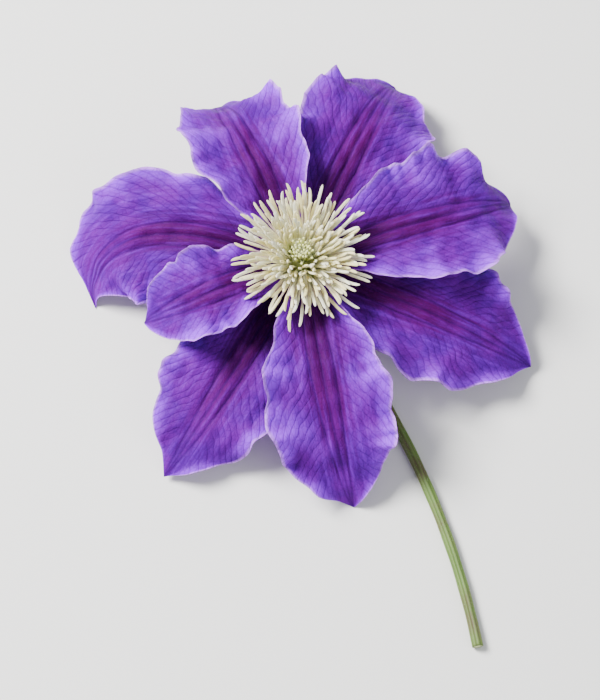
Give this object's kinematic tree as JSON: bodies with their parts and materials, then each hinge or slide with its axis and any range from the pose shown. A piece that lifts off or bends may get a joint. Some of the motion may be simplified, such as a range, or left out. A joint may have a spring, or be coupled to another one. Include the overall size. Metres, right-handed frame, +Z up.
{
  "type": "clematis flower",
  "caption": "Cut clematis flower lying face up: waved violet tepals round a tuft of cream stamens and a pistil, on a slender green stalk.",
  "frame": {"origin": "middle of the flower's outline on the surface it lies on, z = 0 at the surface", "axes": "+Z up, out of the flower's face; the stalk runs towards -Y, so the flower is longest along Y"},
  "size_m": [0.0978, 0.1272, 0.0282],
  "materials": {
    "tepal": "satin",
    "stamen": "matte",
    "pistil": "matte",
    "stalk": "satin"
  },
  "bodies": {
    "root": {"tepal_1": "tepal", "tepal_2": "tepal", "tepal_3": "tepal", "tepal_4": "tepal", "tepal_5": "tepal", "tepal_6": "tepal", "tepal_7": "tepal", "tepal_8": "tepal", "stamens": "stamen", "pistil": "pistil", "stalk": "stalk"}
  },
  "joints": []
}
